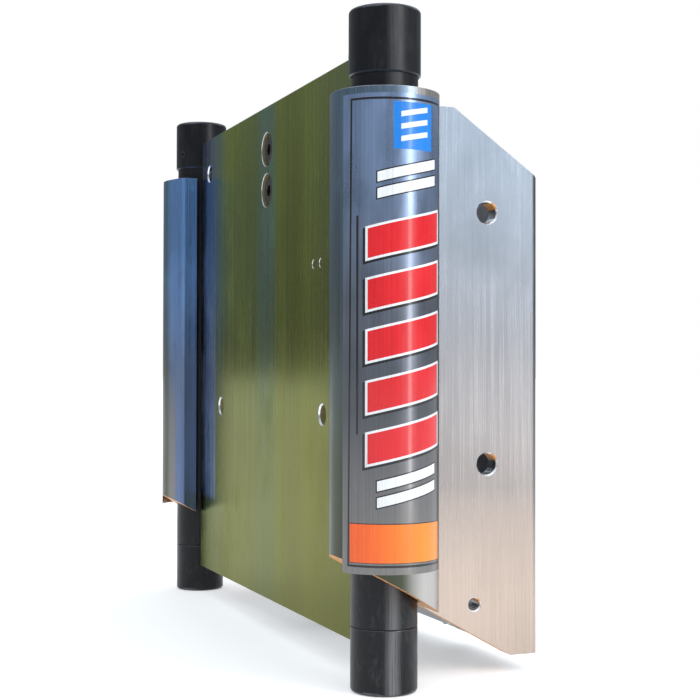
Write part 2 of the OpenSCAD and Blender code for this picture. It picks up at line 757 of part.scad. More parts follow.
// A set screw in the cap's wall, with a hexagon socket
module set_screw() {
    rotate([0, 0, -set_screw_angle]) translate([0, 0, shoulder_z + set_screw_rise]) difference() {
        bar_x(neck_d / 2 + seat_gap, 0, 0, set_screw_d, cap_wall - seat_play);
        translate([cap_d / 2 - cap_wall / 2, 0, 0]) rotate([0, 90, 0])
            cylinder(d = set_screw_hex, h = cap_wall, $fn = 6);
    }
}

module cap_set_screws() {
    color("#b9bcc0") {
        starboard() set_screw();
        port() set_screw();
    }
}

// The carriage's clevis for the rod eye, on the forward face of the motor plate
module lift_bracket() {
    color("#9a9ea4") part_frame() difference() {
        union() {
            translate([-lift_base_w / 2, plate_front_y, upper_pin_z - lift_base_h / 2])
                cube([lift_base_w, lift_base_t, lift_base_h]);
            for (x = [-ear_end_x, ear_x])
                ear(x, ear_t, upper_pin_z, plate_front_y);
        }
        pin_hole(upper_pin_z);
        for (z = [upper_pin_z - lift_screw_pitch / 2, upper_pin_z + lift_screw_pitch / 2])
            bar_y(0, plate_front_y - cut_over, z, lift_screw_d + seat_play,
                lift_base_t + cut_extra);
    }
}

module lift_bracket_screws() {
    color("#8f9398") part_frame()
        for (z = [upper_pin_z - lift_screw_pitch / 2, upper_pin_z + lift_screw_pitch / 2])
            translate([0, counterbore_h - plate_t / 2, z]) rotate([90, 0, 0])
                socket_screw(lift_screw_d, lift_screw_len, lift_head_d, lift_head_h, lift_hex, lift_hex_h);
}

module piston_rod() {
    color("#d4d7da") part_frame() translate([0, cylinder_y, 0]) {
        translate([0, 0, piston_z + piston_h]) cylinder(d = rod_d, h = rod_top_z - piston_z - piston_h);
        translate([0, 0, nut_z]) cylinder(d = rod_spigot_d, h = nut_h + piston_h + cut_over);
    }
}

// The rod's eye, threaded on its top end
module rod_eye() {
    color("#8b8f94") part_frame() difference() {
        union() {
            translate([0, cylinder_y, collar_z]) cylinder(d = collar_d, h = collar_h);
            translate([-eye_w / 2, cylinder_y - eye_r, collar_z + collar_h - cut_over])
                cube([eye_w, eye_r + eye_r, eye_r + cap_under_gap + cut_over]);
            bar_x(-eye_w / 2, cylinder_y, upper_pin_z, eye_r + eye_r, eye_w);
        }
        pin_hole(upper_pin_z);
        translate([0, cylinder_y, collar_z - cut_over])
            cylinder(d = rod_d + seat_play, h = rod_bite + cut_over);
    }
}

module piston() {
    color("#8b8f94") part_frame() translate([0, cylinder_y, piston_z]) difference() {
        cylinder(d = cylinder_bore_d - piston_gap - piston_gap, h = piston_h);
        translate([0, 0, -cut_over]) cylinder(d = rod_spigot_d + seat_play, h = piston_h + cut_extra);
        translate([0, 0, (piston_h - piston_groove_h) / 2]) difference() {
            cylinder(d = cylinder_bore_d, h = piston_groove_h);
            translate([0, 0, -cut_over]) cylinder(d = piston_groove_d, h = piston_groove_h + cut_extra);
        }
    }
}

module piston_seal() {
    color("#1d1d1f") part_frame() translate([0, cylinder_y, piston_z + (piston_h - piston_groove_h) / 2])
        difference() {
            cylinder(d = cylinder_bore_d - run_play, h = piston_groove_h);
            translate([0, 0, -cut_over])
                cylinder(d = piston_groove_d + seat_gap, h = piston_groove_h + cut_extra);
        }
}

module piston_nut() {
    color("#c9ccd0") part_frame() translate([0, cylinder_y, nut_z]) difference() {
        cylinder(d = nut_hex, h = nut_h, $fn = 6);
        translate([0, 0, -cut_over]) cylinder(d = rod_spigot_d + seat_play, h = nut_h + cut_extra);
    }
}

starboard() bracket();  // starboard_bracket
port() bracket();  // port_bracket
starboard() bushing(upper_bushing_z);  // starboard_upper_bushing
starboard() bushing(lower_bushing_z);  // starboard_lower_bushing
port() bushing(upper_bushing_z);  // port_upper_bushing
port() bushing(lower_bushing_z);  // port_lower_bushing
crossmember();
tie_bar();
part_frame() frame_screws(cross_rows);  // crossmember_screws
part_frame() frame_screws(tie_rows);  // tie_bar_screws
cylinder_lug();
lug_screws();
cylinder_pin(lower_pin_z);  // lower_pin
pin_rings(lower_pin_z);  // lower_pin_rings
cylinder_barrel();
base_cap();
gland();
rod_seal();
rod_wiper();
port_fitting(base_port_z);  // base_port_fitting
port_fitting(rod_port_z);  // rod_port_fitting
starboard() label();  // starboard_label
port() label();  // port_label
motor_plate();
starboard() guide_tube();  // starboard_guide_tube
port() guide_tube();  // port_guide_tube
starboard() top_cap();  // starboard_top_cap
port() top_cap();  // port_top_cap
starboard() bottom_plug();  // starboard_bottom_plug
port() bottom_plug();  // port_bottom_plug
cap_set_screws();
starboard() rail_screws();  // starboard_rail_screws
port() rail_screws();  // port_rail_screws
lift_bracket();
lift_bracket_screws();
cylinder_pin(upper_pin_z);  // upper_pin
pin_rings(upper_pin_z);  // upper_pin_rings
piston_rod();
rod_eye();
piston();
piston_seal();
piston_nut();
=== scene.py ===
"""Looks of the hydraulic jack plate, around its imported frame. Metres: X starboard, Y forward, Z up."""

import json
import math

import bmesh
import bpy
from mathutils import Matrix, Vector

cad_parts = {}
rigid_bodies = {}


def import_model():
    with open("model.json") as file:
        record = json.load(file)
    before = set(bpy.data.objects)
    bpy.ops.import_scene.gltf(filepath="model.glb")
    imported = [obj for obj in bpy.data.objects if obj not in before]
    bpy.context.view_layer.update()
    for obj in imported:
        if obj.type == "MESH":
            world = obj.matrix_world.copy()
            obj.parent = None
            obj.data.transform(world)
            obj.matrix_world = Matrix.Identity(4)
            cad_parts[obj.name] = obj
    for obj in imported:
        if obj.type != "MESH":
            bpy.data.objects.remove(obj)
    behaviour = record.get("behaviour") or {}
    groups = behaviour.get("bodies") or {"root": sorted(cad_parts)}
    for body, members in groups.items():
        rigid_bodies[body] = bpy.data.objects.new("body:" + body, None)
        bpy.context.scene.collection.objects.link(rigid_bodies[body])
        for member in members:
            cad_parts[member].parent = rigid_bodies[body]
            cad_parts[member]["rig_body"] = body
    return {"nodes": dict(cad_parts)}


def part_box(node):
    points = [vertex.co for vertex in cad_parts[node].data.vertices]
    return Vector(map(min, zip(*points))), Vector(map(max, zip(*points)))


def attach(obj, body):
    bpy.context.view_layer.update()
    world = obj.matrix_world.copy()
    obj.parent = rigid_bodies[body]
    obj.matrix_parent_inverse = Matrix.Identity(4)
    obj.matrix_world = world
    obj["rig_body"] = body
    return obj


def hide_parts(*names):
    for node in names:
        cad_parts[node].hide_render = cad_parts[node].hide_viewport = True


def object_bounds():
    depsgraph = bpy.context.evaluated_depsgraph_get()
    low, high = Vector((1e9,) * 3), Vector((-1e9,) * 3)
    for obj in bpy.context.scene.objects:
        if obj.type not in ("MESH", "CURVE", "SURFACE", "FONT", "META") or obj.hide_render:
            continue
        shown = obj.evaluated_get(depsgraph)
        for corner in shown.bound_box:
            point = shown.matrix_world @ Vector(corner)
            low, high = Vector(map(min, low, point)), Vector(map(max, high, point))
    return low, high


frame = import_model()
cad_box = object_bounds()

MM = 0.001
FLOOR_Z = cad_box[0].z

# Camera, solved from the photograph's square frame; angles in degrees
IMAGE_SIDE = 700.0
FOCAL_PX = 1388.85
SENSOR_WIDTH = 36.0
CAMERA_PLACE = (1.0193, -0.4524, -0.0906)
CAMERA_YAW = 68.763
CAMERA_PITCH = 0.851
CAMERA_ROLL = 0.107
CLIP_START = 0.01
CLIP_END = 100

# Floor: half its side, and the share of its whiteness that it gives off, so that shadows stay pale
FLOOR_REACH = 30
FLOOR_GLOW = 0.35

# Lights: the point that the boxes face, and the power and angles, in degrees, of the broad sun
LIGHT_AIM = (0.2, 0, -0.05)
SUN_POWER = 1.6
SUN_SPREAD = 120
SUN_TILT = (-12, 14)

# Label: its sheet runs round the sleeve from its aft edge, which lies this far aft of outboard.
# Its flat sizes, and the steps that it bends in, are in millimetres
LABEL_AFT_ANGLE = math.radians(69.4)
LABEL_WIDTH = 75.0
LABEL_T = 0.25
LABEL_STEP = 1.5
CUT_REACH = 0.001

# Edge rounding by size of piece, and the angle in degrees from which an edge is rounded
BROAD_ROUND = 0.5 * MM
FINE_ROUND = 0.3 * MM
SMALL_ROUND = 0.2 * MM
SHARP_ANGLE = 32

# Bright chamfers of the plate's holes and of the sleeves' ends
RIM_CHAMFER = 0.8 * MM
SLEEVE_CHAMFER = 1.2 * MM

# Mesh clean-up: vertices this close are one, and faces within this angle in degrees are flat
WELD_GAP = 0.002 * MM
FLAT_ANGLE = 0.3

# How faces are told apart: a chamfer by its size and slant, a hole's rim by the length of its edges and
# its place, a hole's wall by the size of its faces, a lower face painted warm as a reflection of the
# ground by its place
CHAMFER_AREA = 12 * MM * MM
CHAMFER_SLANT = (0.55, 0.85)
RIM_STEP = 4.5 * MM
RIM_REACH = 0.16
WALL_AREA = 60 * MM * MM
WARM_REFLECTION_FROM = -0.06
SLANT_DOWN_AFT = -0.3

# Cosines between faces that are square to each other, and between a face and the axis it faces
SQUARE = 0.02
FACING = 0.99

# Material slots: rounded and chamfered edges, and the first of the extra materials
EDGE_SLOT = 1
EXTRA_SLOT = 2

# Sockets of the colour mix node
MIX_SHARE, MIX_FIRST, MIX_SECOND, MIX_RESULT = 0, 6, 7, 2

BRACKETS = ["starboard_bracket", "port_bracket"]
CROSS_PIECES = ["crossmember", "tie_bar"]
BUSHINGS = ["starboard_upper_bushing", "starboard_lower_bushing",
            "port_upper_bushing", "port_lower_bushing"]
TUBES = ["starboard_guide_tube", "port_guide_tube"]
TUBE_ENDS = ["starboard_top_cap", "port_top_cap", "starboard_bottom_plug", "port_bottom_plug"]
MACHINED = ["cylinder_lug", "gland", "rod_eye", "lift_bracket", "piston"]
PAINTED = ["cylinder_barrel", "base_cap"]
STEEL = ["crossmember_screws", "tie_bar_screws", "lug_screws", "lower_pin", "lower_pin_rings",
         "base_port_fitting", "rod_port_fitting", "starboard_rail_screws", "port_rail_screws",
         "upper_pin", "upper_pin_rings", "piston_nut"]
DARK_SCREWS = ["lift_bracket_screws", "cap_set_screws"]
RUBBER = ["rod_seal", "rod_wiper", "piston_seal"]

# Colours of the bare metal: plain ones, and (place, colour) stops from bottom to top. The stops paint in
# light and shade: reflections of ground and sky, shade low on the sleeves, a highlight on the port
# sleeve's crest
PLAIN_METAL = (0.40, 0.41, 0.43)
WEB_METAL = (0.45, 0.43, 0.41)
# Arms' outside: painted reflection of warm ground at the bottom and blue sky at the top, darker between
ARM_SKY_GROUND_REFLECTION_STOPS = [(0.0, (0.50, 0.40, 0.335)), (0.2, (0.21, 0.192, 0.184)),
             (0.6, (0.155, 0.161, 0.175)), (1.0, (0.17, 0.203, 0.245))]
# Starboard sleeve: painted shade low down, painted reflections of the green plate and the blue sky above
STARBOARD_SHADE_AND_REFLECTION_STOPS = [(0.0, (0.06, 0.065, 0.045)), (0.25, (0.075, 0.085, 0.06)),
                   (0.6, (0.12, 0.15, 0.15)), (1.0, (0.19, 0.27, 0.36))]
# Port sleeve: painted shade and reflections on the outer and inner parts, a painted highlight on the
# crest
PORT_OUTER_SHADE_AND_REFLECTION_STOPS = [(0.0, (0.06, 0.062, 0.034)), (0.5, (0.09, 0.10, 0.08)),
                    (1.0, (0.17, 0.30, 0.43))]
PORT_CREST_HIGHLIGHT_STOPS = [(0.0, (0.215, 0.20, 0.185)), (0.3, (0.20, 0.195, 0.19)),
                    (0.5, (0.15, 0.20, 0.30)), (1.0, (0.25, 0.47, 0.90))]
PORT_INNER_REFLECTION_STOPS = [(0.0, (0.12, 0.165, 0.28)), (0.5, (0.15, 0.20, 0.32)),
                    (1.0, (0.25, 0.47, 0.93))]
# Label film: a painted reflection, darker in the middle and bluer towards the top
FILM_SKY_REFLECTION_STOPS = [(0.0, (0.20, 0.19, 0.18)), (0.15, (0.16, 0.155, 0.155)), (0.35, (0.10, 0.105, 0.12)),
              (0.65, (0.15, 0.17, 0.21)), (1.0, (0.25, 0.345, 0.54))]

# The plate's upright bands, from port to starboard, and its other colours. All are painted reflections
# of the surroundings, and the two tints by height paint shade at the bottom and light at the top
PLATE_REFLECTION_BAND_STOPS = [(0.0, (0.20, 0.29, 0.40)), (0.06, (0.18, 0.25, 0.29)), (0.12, (0.25, 0.29, 0.11)),
              (0.25, (0.22, 0.27, 0.09)), (0.38, (0.19, 0.24, 0.12)), (0.46, (0.16, 0.26, 0.31)),
              (0.56, (0.17, 0.26, 0.26)), (0.62, (0.24, 0.28, 0.08)), (0.74, (0.20, 0.23, 0.075)),
              (0.84, (0.26, 0.30, 0.09)), (1.0, (0.19, 0.22, 0.14))]
PLATE_LOW_REFLECTION = (0.225, 0.245, 0.11)
# A painted blue reflection of the port sleeve, low at the plate's port side
PLATE_SLEEVE_REFLECTION_BLUE = (0.22, 0.28, 0.42)
PLATE_LOW_SHADE_TINT = (0.55, 0.50, 0.15)
PLATE_HIGH_LIGHT_TINT = (1.15, 1.2, 0.85)

# Grain per metre of fine and broad brush lines along an axis
BRUSH_SCALES = {
    "z": ((2600, 2600, 9), (260, 260, 1.4)),
    "x": ((9, 2600, 2600), (1.4, 260, 260)),
}


# Node helpers
def link(tree, value, socket):
    """Sets a socket from a number, a colour or another node's output."""
    if isinstance(value, bpy.types.NodeSocket):
        tree.links.new(value, socket)
    else:
        socket.default_value = value


def add_node(tree, kind, **settings):
    node = tree.nodes.new(kind)
    for key, value in settings.items():
        setattr(node, key, value)
    return node


def object_point(tree, scale, offset=(0, 0, 0)):
    """The surface's place on the part, stretched by scale."""
    place = add_node(tree, "ShaderNodeTexCoord")
    mapping = add_node(tree, "ShaderNodeMapping")
    tree.links.new(place.outputs["Object"], mapping.inputs["Vector"])
    mapping.inputs["Scale"].default_value = scale
    mapping.inputs["Location"].default_value = offset
    return mapping.outputs["Vector"]


def noise(tree, scale, detail=3.0, rough=0.55, offset=(0, 0, 0)):
    """Noise whose grain per metre along x, y and z is scale."""
    node = add_node(tree, "ShaderNodeTexNoise")
    tree.links.new(object_point(tree, scale, offset), node.inputs["Vector"])
    node.inputs["Scale"].default_value = 1.0
    node.inputs["Detail"].default_value = detail
    node.inputs["Roughness"].default_value = rough
    return node.outputs["Fac"]


def axis_value(tree, axis, coordinates="Object"):
    """The place along one axis, in metres on the part unless other coordinates are named."""
    place = add_node(tree, "ShaderNodeTexCoord")
    split = add_node(tree, "ShaderNodeSeparateXYZ")
    tree.links.new(place.outputs[coordinates], split.inputs["Vector"])
    return split.outputs[axis]


def spread(tree, value, low, high, out_low=0.0, out_high=1.0):
    """Maps low..high onto out_low..out_high, smoothly and with clamped ends."""
    node = add_node(tree, "ShaderNodeMapRange", interpolation_type="SMOOTHSTEP")
    link(tree, value, node.inputs["Value"])
    for name, number in (("From Min", low), ("From Max", high),
                         ("To Min", out_low), ("To Max", out_high)):
        node.inputs[name].default_value = number
    return node.outputs["Result"]


def ramp(tree, value, stops):
    """A colour ramp through (place, colour) stops."""
    node = add_node(tree, "ShaderNodeValToRGB")
    link(tree, value, node.inputs["Fac"])
    points = node.color_ramp.elements
    while len(points) < len(stops):
        points.new(0.5)
    for point, (place, colour) in zip(points, stops):
        point.position = place
        point.color = (*colour, 1)
    return node.outputs["Color"]


def mix(tree, share, first, second, blend="MIX"):
    node = add_node(tree, "ShaderNodeMix", data_type="RGBA", blend_type=blend)
    link(tree, share, node.inputs[MIX_SHARE])
    for value, socket in ((first, node.inputs[MIX_FIRST]), (second, node.inputs[MIX_SECOND])):
        link(tree, (*value, 1) if isinstance(value, tuple) else value, socket)
    return node.outputs[MIX_RESULT]


def calc(tree, how, first, second=0.0):
    node = add_node(tree, "ShaderNodeMath", operation=how)
    link(tree, first, node.inputs[0])
    link(tree, second, node.inputs[1])
    return node.outputs[0]


def bump(tree, height, strength, distance, under=None):
    node = add_node(tree, "ShaderNodeBump")
    node.inputs["Strength"].default_value = strength
    node.inputs["Distance"].default_value = distance
    tree.links.new(height, node.inputs["Height"])
    if under:
        tree.links.new(under, node.inputs["Normal"])
    return node.outputs["Normal"]


def grey_colour(tree, value):
    node = add_node(tree, "ShaderNodeCombineColor")
    for channel in ("Red", "Green", "Blue"):
        tree.links.new(value, node.inputs[channel])
    return node.outputs["Color"]


def darker(colour, share):
    return tuple(share * channel for channel in colour)


def start_material(name):
    material = bpy.data.materials.new(name)
    material.use_nodes = True
    tree = material.node_tree
    return material, tree, tree.nodes["Principled BSDF"]


# Object helpers
def add_object(name, data):
    made = bpy.data.objects.new(name, data)
    bpy.context.scene.collection.objects.link(made)
    return made


def body_of(node):
    return frame["nodes"][node]["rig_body"]


def middle_of(node):
    return sum(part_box(node), Vector()) / 2


# Metals
def brushed_metal(name, grain, colour_of, roughness=0.3, anisotropy=0.55, streak=0.2,
                  edge_tint=(1, 1, 1)):
    """Metal brushed along one axis: fine hairlines, broader streaks and faint smudges.

    edge_tint is its colour at a grazing view.
    """
    material, tree, shader = start_material(name)
    fine_scale, broad_scale = BRUSH_SCALES[grain]
    fine = noise(tree, fine_scale, 4.0, 0.6)
    broad = noise(tree, broad_scale, 3.0, 0.5)
    smudge = noise(tree, (14, 14, 9), 4.0, 0.6)
    lines = calc(tree, "ADD", calc(tree, "MULTIPLY", fine, 0.75),
                 calc(tree, "MULTIPLY", broad, 0.25))
    shade = spread(tree, lines, 0.34, 0.66, 1.0 - streak, 1.0 + streak)
    base = colour_of(tree)
    lit = mix(tree, 1.0, base, grey_colour(tree, shade), "MULTIPLY")
    cloud = grey_colour(tree, spread(tree, smudge, 0.3, 0.7, 0.93, 1.06))
    tree.links.new(mix(tree, 1.0, lit, cloud, "MULTIPLY"), shader.inputs["Base Color"])
    rough = calc(tree, "ADD", spread(tree, lines, 0.3, 0.7, roughness - 0.08, roughness + 0.08),
                 spread(tree, smudge, 0.45, 0.75, 0.0, 0.1))
    tree.links.new(rough, shader.inputs["Roughness"])
    grooves = bump(tree, fine, 0.22, 0.05 * MM, bump(tree, broad, 0.1, 0.1 * MM))
    tree.links.new(grooves, shader.inputs["Normal"])
    across = add_node(tree, "ShaderNodeTangent", direction_type="RADIAL", axis=grain.upper())
    tree.links.new(across.outputs["Tangent"], shader.inputs["Tangent"])
    shader.inputs["Metallic"].default_value = 1.0
    shader.inputs["Anisotropic"].default_value = anisotropy
    shader.inputs["Specular Tint"].default_value = (*edge_tint, 1)
    return material


def bracket_colour(tree):
    """Outside of the arms warmer towards the bottom and bluer at the top, a painted reflection of ground
    and sky; their inside plain. The sleeves are darker low down and bluer towards the top, painted shade
    and painted reflections. The port sleeve has an outer part, a crest with a painted highlight, and an
    inner part.
    """
    height = spread(tree, axis_value(tree, "Z"), -0.27, 0.09)
    # Arms' outside: a painted reflection, warm ground below and blue sky above
    arm_painted_reflection = ramp(tree, height, ARM_SKY_GROUND_REFLECTION_STOPS)
    across, along = axis_value(tree, "X"), axis_value(tree, "Y")
    # Starboard sleeve aft of the web: painted shade low down and painted reflections of the plate and
    # the sky higher up
    starboard = mix(tree, spread(tree, along, -0.122, -0.104),
                    ramp(tree, height, STARBOARD_SHADE_AND_REFLECTION_STOPS), WEB_METAL)
    # Port sleeve: painted shade and reflections on its outer and inner parts, a painted highlight on its
    # crest
    outer = ramp(tree, height, PORT_OUTER_SHADE_AND_REFLECTION_STOPS)
    crest = ramp(tree, height, PORT_CREST_HIGHLIGHT_STOPS)
    inner = ramp(tree, height, PORT_INNER_REFLECTION_STOPS)
    port = mix(tree, spread(tree, across, -0.2, -0.196),
               mix(tree, spread(tree, across, -0.213, -0.204), outer, crest), inner)
    sleeves = mix(tree, spread(tree, across, -0.1, 0.1), port, starboard)
    outboard = spread(tree, calc(tree, "ABSOLUTE", across), 0.19, 0.2005)
    arms = mix(tree, outboard, PLAIN_METAL, arm_painted_reflection)
    return mix(tree, spread(tree, along, -0.082, -0.072), sleeves, arms)


def plate_colour(tree):
    """Aft side in wide upright bands of painted reflection that fade towards the bottom, all olive but
    for a bluish one along the middle and one at the port edge. A painted blue reflection of the port
    sleeve lies low at the port side, and a tint by height paints shade at the bottom and light at the
    top. Forward side plain.
    """
    wander = noise(tree, (30, 1, 1.2), 2.0)
    across = calc(tree, "ADD", axis_value(tree, "X"),
                  spread(tree, wander, 0.2, 0.8, -0.006, 0.006))
    # Bands of painted reflection across the plate
    reflection_band = ramp(tree, spread(tree, across, -0.19, 0.19), PLATE_REFLECTION_BAND_STOPS)
    height = spread(tree, axis_value(tree, "Z"), -0.15, 0.0)
    band_share = calc(tree, "ADD", calc(tree, "MULTIPLY", height, 0.45), 0.55)
    upright = mix(tree, band_share, PLATE_LOW_REFLECTION, reflection_band)
    # Tint by height: painted shade at the bottom, painted light at the top
    painted_light_tint = mix(tree, height, PLATE_LOW_SHADE_TINT, PLATE_HIGH_LIGHT_TINT)
    with_painted_light = mix(tree, 1.0, upright, painted_light_tint, "MULTIPLY")
    # A painted blue reflection of the port sleeve, low at the port side
    sleeve_reflection_strip = calc(tree, "MULTIPLY", spread(tree, axis_value(tree, "X"), -0.15, -0.138, 1.0, 0.0),
                      spread(tree, axis_value(tree, "Z"), -0.205, -0.198))
    middle = middle_of("motor_plate").y
    forward = spread(tree, axis_value(tree, "Y"), middle - MM, middle + MM)
    return mix(tree, forward, mix(tree, sleeve_reflection_strip, with_painted_light, PLATE_SLEEVE_REFLECTION_BLUE), PLAIN_METAL)


def plain_colour(colour):
    def colour_of(tree):
        return mix(tree, noise(tree, (30, 30, 30)), darker(colour, 0.9), colour)
    return colour_of


def machined_metal(name, colour, roughness=0.26, metallic=1.0):
    """Metal with fine tool marks and mottled colour and roughness."""
    material, tree, shader = start_material(name)
    marks = noise(tree, (300, 300, 3200), 2.0, 0.5)
    mottle = noise(tree, (220, 220, 220), 4.0, 0.6)
    shade = grey_colour(tree, spread(tree, marks, 0.3, 0.7, 0.86, 1.08))
    base = mix(tree, mottle, darker(colour, 0.93), colour)
    tree.links.new(mix(tree, 1.0, base, shade, "MULTIPLY"), shader.inputs["Base Color"])
    tree.links.new(spread(tree, mottle, 0.3, 0.7, roughness - 0.03, roughness + 0.04),
                   shader.inputs["Roughness"])
    tree.links.new(bump(tree, marks, 0.15, 0.04 * MM), shader.inputs["Normal"])
    shader.inputs["Metallic"].default_value = metallic
    return material


def edge_metal(name, colour, roughness=0.2):
    """The brighter metal of a rounded edge, with duller patches: rubbed metal, and on the aluminium
    parts also a painted highlight.
    """
    material, tree, shader = start_material(name)
    patches = noise(tree, (160, 160, 90), 4.0, 0.65)
    tree.links.new(mix(tree, spread(tree, patches, 0.35, 0.65), darker(colour, 0.72), colour),
                   shader.inputs["Base Color"])
    tree.links.new(spread(tree, patches, 0.3, 0.7, roughness + 0.12, roughness),
                   shader.inputs["Roughness"])
    tree.links.new(bump(tree, patches, 0.2, 0.05 * MM), shader.inputs["Normal"])
    shader.inputs["Metallic"].default_value = 1.0
    return material


def chrome():
    material, tree, shader = start_material("chrome")
    fine = noise(tree, (900, 900, 14), 3.0)
    tree.links.new(mix(tree, fine, (0.70, 0.71, 0.73), (0.84, 0.85, 0.87)),
                   shader.inputs["Base Color"])
    tree.links.new(spread(tree, fine, 0.3, 0.7, 0.05, 0.12), shader.inputs["Roughness"])
    tree.links.new(bump(tree, fine, 0.05, 0.02 * MM), shader.inputs["Normal"])
    shader.inputs["Metallic"].default_value = 1.0
    return material


# Coatings
def black_anodised():
    """Satin black with faint lengthways drag lines, lighter patches, and a bright line outboard. The
    lighter patches are partly dust and partly a painted reflection of the pale floor, and the bright
    line is a painted highlight; both are strongest at the lower ends.
    """
    material, tree, shader = start_material("black_anodised")
    fine = noise(tree, (1500, 1500, 20), 4.0, 0.6)
    mottle = noise(tree, (70, 70, 40), 5.0, 0.6)
    scratch = noise(tree, (420, 420, 160), 5.0, 0.7, (3, 5, 7))
    # Share that grows towards the lower ends, where the lighter patches and the bright line paint in a
    # floor reflection and a highlight
    lower_end_sheen_share = spread(tree, axis_value(tree, "Z"), -0.29, -0.16, 1.0, 0.25)
    dust_and_sheen_spots = calc(tree, "MULTIPLY", spread(tree, mottle, 0.44, 0.66), lower_end_sheen_share)
    dust_and_sheen_spots = calc(tree, "MULTIPLY", dust_and_sheen_spots, spread(tree, scratch, 0.42, 0.66))
    base = mix(tree, fine, (0.0025, 0.0028, 0.004), (0.006, 0.0065, 0.009))
    dust_and_sheen_base = mix(tree, dust_and_sheen_spots, base, (0.03, 0.03, 0.031))
    # A bright upright line on the outboard side towards the lower end: a painted highlight
    tube = middle_of("starboard_top_cap")
    highlight_line_y = tube.y - 2.4 * MM
    off_highlight_line = calc(tree, "ABSOLUTE", calc(tree, "SUBTRACT", axis_value(tree, "Y"), highlight_line_y))
    outboard = spread(tree, calc(tree, "ABSOLUTE", axis_value(tree, "X")),
                      tube.x, tube.x + 16 * MM)
    line = calc(tree, "MULTIPLY", spread(tree, off_highlight_line, 0.5 * MM, 6.5 * MM, 1.0, 0.0), outboard)
    line = calc(tree, "MULTIPLY", calc(tree, "MULTIPLY", line, lower_end_sheen_share),
                spread(tree, fine, 0.25, 0.65, 0.35, 1.0))
    tree.links.new(mix(tree, line, dust_and_sheen_base, (0.17, 0.168, 0.172)), shader.inputs["Base Color"])
    rough = calc(tree, "ADD", spread(tree, fine, 0.3, 0.7, 0.24, 0.33),
                 spread(tree, mottle, 0.4, 0.7, 0.0, 0.1))
    tree.links.new(rough, shader.inputs["Roughness"])
    tree.links.new(bump(tree, fine, 0.12, 0.05 * MM), shader.inputs["Normal"])
    shader.inputs["Specular IOR Level"].default_value = 0.27
    return material


def black_paint():
    """Satin paint with an orange-peel surface."""
    material, tree, shader = start_material("black_paint")
    peel = noise(tree, (700, 700, 700), 2.0, 0.5)
    dust = noise(tree, (60, 60, 60), 5.0, 0.65)
    tree.links.new(mix(tree, spread(tree, dust, 0.4, 0.75),
                       (0.012, 0.012, 0.014), (0.035, 0.035, 0.036)),
                   shader.inputs["Base Color"])
    tree.links.new(spread(tree, dust, 0.3, 0.7, 0.26, 0.42), shader.inputs["Roughness"])
    tree.links.new(bump(tree, peel, 0.25, 0.08 * MM), shader.inputs["Normal"])
    shader.inputs["Coat Weight"].default_value = 0.3
    shader.inputs["Coat Roughness"].default_value = 0.15
    return material


def soft_plastic(name, colour, roughness, grain_strength):
    material, tree, shader = start_material(name)
    grain = noise(tree, (900, 900, 900), 3.0, 0.6)
    mottle = noise(tree, (90, 90, 90), 4.0, 0.6)
    tree.links.new(mix(tree, mottle, darker(colour, 0.85), colour), shader.inputs["Base Color"])
    tree.links.new(spread(tree, mottle, 0.3, 0.7, roughness - 0.08, roughness + 0.08),
                   shader.inputs["Roughness"])
    tree.links.new(bump(tree, grain, grain_strength, 0.05 * MM), shader.inputs["Normal"])
    return material


def film_reflection_colour(tree):
    """Clear film over the sleeve, darker in the middle and bluer towards the top: a painted sky
    reflection.
    """
    return ramp(tree, spread(tree, axis_value(tree, "Z"), -0.25, 0.09), FILM_SKY_REFLECTION_STOPS)


def orange_colour(tree):
    """Redder at its aft end."""
    return mix(tree, spread(tree, axis_value(tree, "Y"), -0.148, -0.098),
               (0.86, 0.11, 0.008), (0.80, 0.24, 0.012))


def printed_film(name, colour, metallic=0.0, roughness=0.3, streak=0.12):
    """Glossy film over brushed metal: the grain beneath shows faintly in colour and height.

    colour is a colour, or a function that adds its nodes to a tree.
    """
    material, tree, shader = start_material(name)
    fine = noise(tree, (2200, 2200, 9), 3.0, 0.6)
    ripple = noise(tree, (60, 60, 25), 3.0, 0.5)
    shade = grey_colour(tree, spread(tree, fine, 0.3, 0.7, 1.0 - streak, 1.0 + streak))
    print_tone = colour(tree) if callable(colour) else colour
    faded = mix(tree, 1.0, print_tone, (0.93, 0.93, 0.93), "MULTIPLY")
    base = mix(tree, spread(tree, ripple, 0.3, 0.7), faded, print_tone)
    tree.links.new(mix(tree, 1.0, base, shade, "MULTIPLY"), shader.inputs["Base Color"])
    tree.links.new(spread(tree, ripple, 0.3, 0.7, roughness - 0.05, roughness + 0.07),
                   shader.inputs["Roughness"])
    waves = bump(tree, ripple, 0.12, 0.15 * MM, bump(tree, fine, 0.08, 0.03 * MM))
    tree.links.new(waves, shader.inputs["Normal"])
    shader.inputs["Metallic"].default_value = metallic
    shader.inputs["Coat Weight"].default_value = 0.4
    shader.inputs["Coat Roughness"].default_value = 0.1
    shader.inputs["Specular IOR Level"].default_value = 0.3
    return material


# Pieces
def is_chamfer(face):
    """True for the small slanted faces of a chamfered rim or edge."""
    low, high = CHAMFER_SLANT
    slanted = any(low < abs(part) < high for part in face.normal)
    tilted = abs(face.normal.z) > 0.05
    upright_corner = abs(face.normal.x) > 0.6 and abs(face.normal.y) > 0.6
    return slanted and face.calc_area() < CHAMFER_AREA and (tilted or upright_corner)


def is_warm_reflection_face(face):
    """True for the arms' lower faces that slant down and aft, which are painted warm as a reflection of
    the ground.
    """
    return (face.normal.z < SLANT_DOWN_AFT and face.normal.y < SLANT_DOWN_AFT
            and max(v.co.y for v in face.verts) > WARM_REFLECTION_FROM)


def is_hole_wall(face):
    """True for the walls of the plate's holes."""
    return (abs(face.normal.y) < 0.01 and face.calc_area() < WALL_AREA
            and abs(face.calc_center_median().x) < RIM_REACH)


